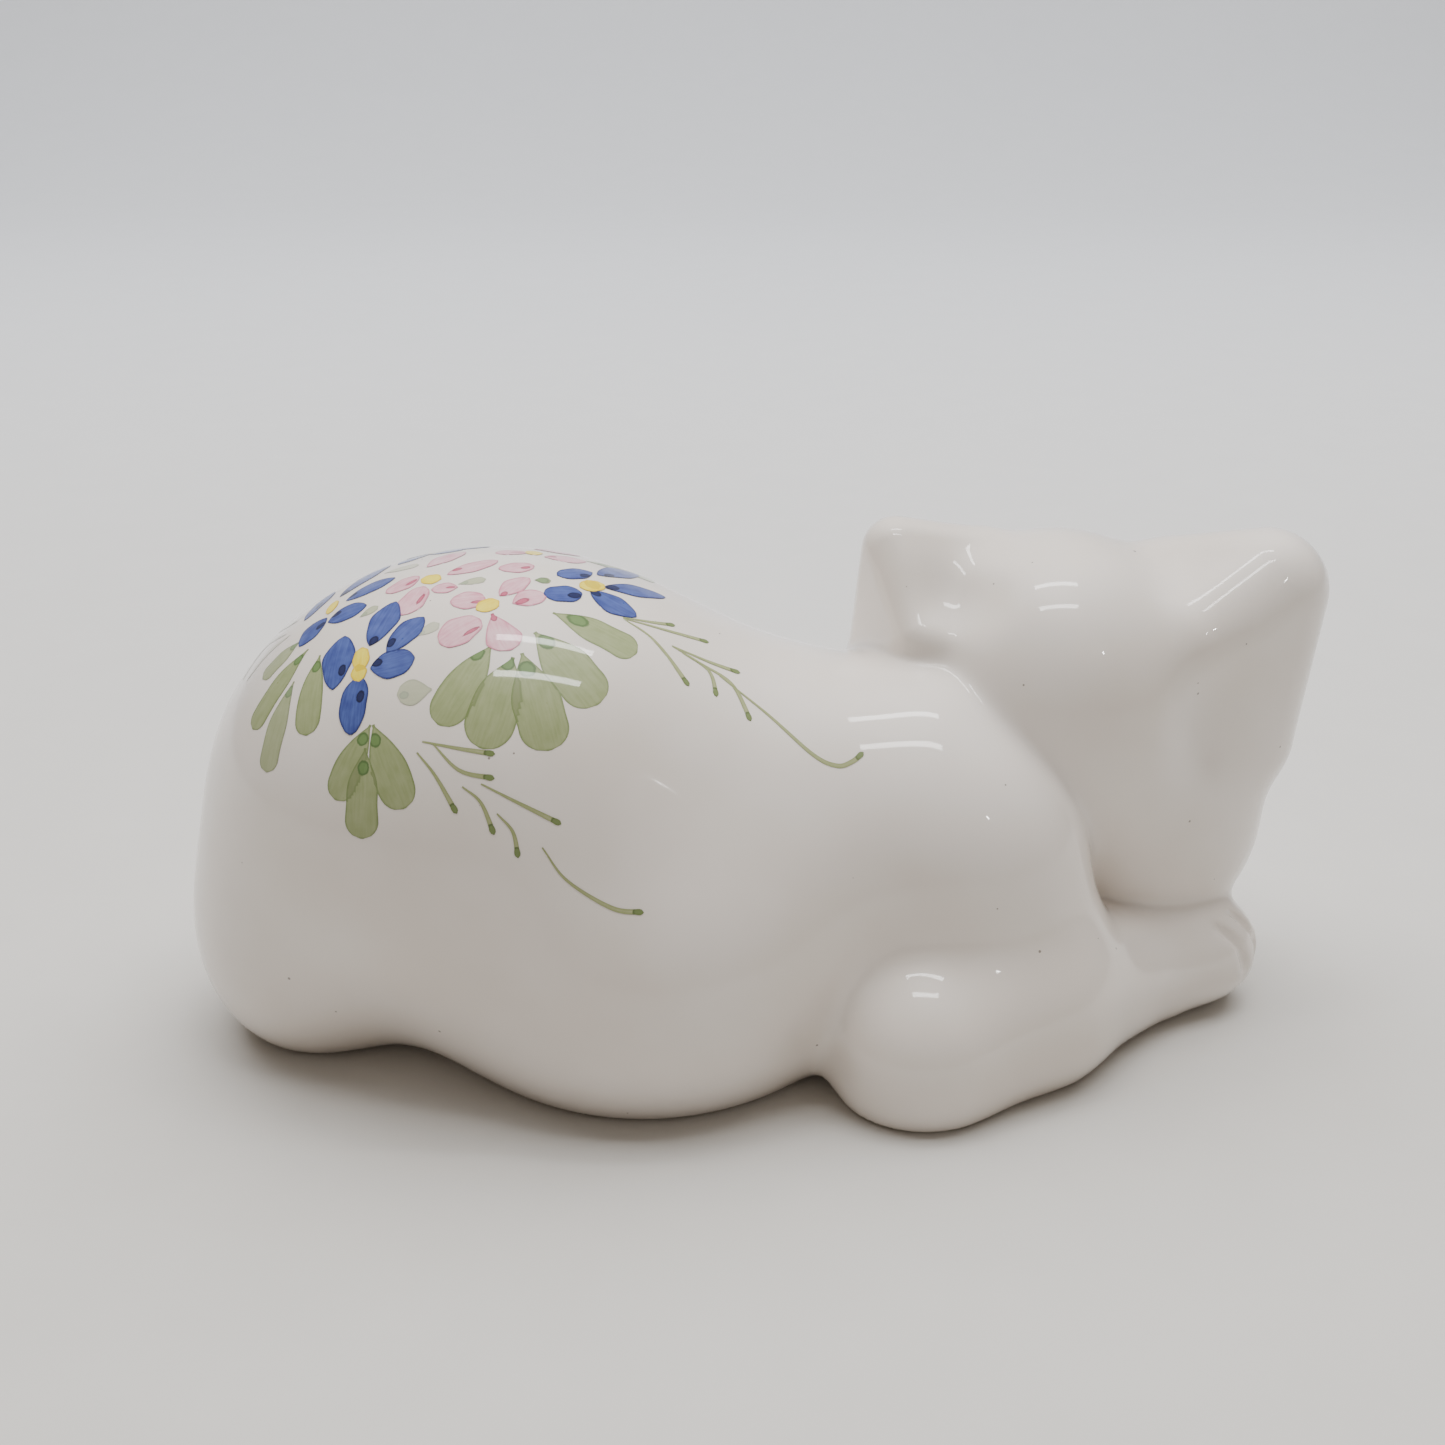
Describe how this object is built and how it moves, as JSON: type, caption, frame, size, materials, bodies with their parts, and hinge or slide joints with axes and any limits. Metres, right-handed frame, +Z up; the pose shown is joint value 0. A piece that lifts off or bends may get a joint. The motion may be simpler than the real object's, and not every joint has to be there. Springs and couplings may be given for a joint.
{
  "type": "cat figurine",
  "caption": "Hollow slip-cast figurine of a curled, sleeping cat, glossy white glaze with a painted flower posy on the back; stands on its flat base as a shelf or table ornament",
  "frame": {"origin": "middle of the footprint box, on the flat base that the figurine stands on", "axes": "+X from the rump to the head, the longest way; -Y towards the painted flank and the back of the head; +Z up"},
  "size_m": [0.2018, 0.1015, 0.089],
  "materials": {
    "glazed_body": "glossy clear glaze over warm white earthenware, with a few dark specks and pinholes",
    "cobalt_paint": "cobalt blue brush strokes with darker edges, under the clear glaze",
    "rose_paint": "thin rose brush strokes with darker edges, under the clear glaze",
    "yellow_paint": "opaque bright yellow dabs, under the clear glaze",
    "leaf_paint": "watery grey-green brush strokes with darker edges, under the clear glaze"
  },
  "bodies": {
    "root": {"torso": "glazed_body", "head": "glazed_body", "right_ear": "glazed_body", "left_ear": "glazed_body", "right_foreleg": "glazed_body", "left_foreleg": "glazed_body", "tail": "glazed_body", "blue_flower_1_petals": "cobalt_paint", "blue_flower_1_centre": "yellow_paint", "blue_flower_2_petals": "cobalt_paint", "blue_flower_2_centre": "yellow_paint", "blue_flower_3_petals": "cobalt_paint", "blue_flower_3_centre": "yellow_paint", "blue_flower_4_petals": "cobalt_paint", "blue_flower_4_centre": "yellow_paint", "pink_flower_1_petals": "rose_paint", "pink_flower_1_centre": "yellow_paint", "pink_flower_2_petals": "rose_paint", "pink_flower_2_centre": "yellow_paint", "pink_flower_3_petals": "rose_paint", "pink_flower_3_centre": "yellow_paint", "leaves_front": "leaf_paint", "leaf_shoulder": "leaf_paint", "leaves_flank": "leaf_paint", "leaves_rump": "leaf_paint", "leaf_rump": "leaf_paint", "leaf_small": "leaf_paint", "leaf_ridge": "leaf_paint", "tendril_flank_1": "leaf_paint", "tendril_flank_2": "leaf_paint", "tendril_flank_3": "leaf_paint", "tendril_flank_4": "leaf_paint", "tendril_flank_5": "leaf_paint", "tendril_flank_6": "leaf_paint", "tendril_back_1": "leaf_paint", "tendril_back_2": "leaf_paint"}
  },
  "joints": []
}
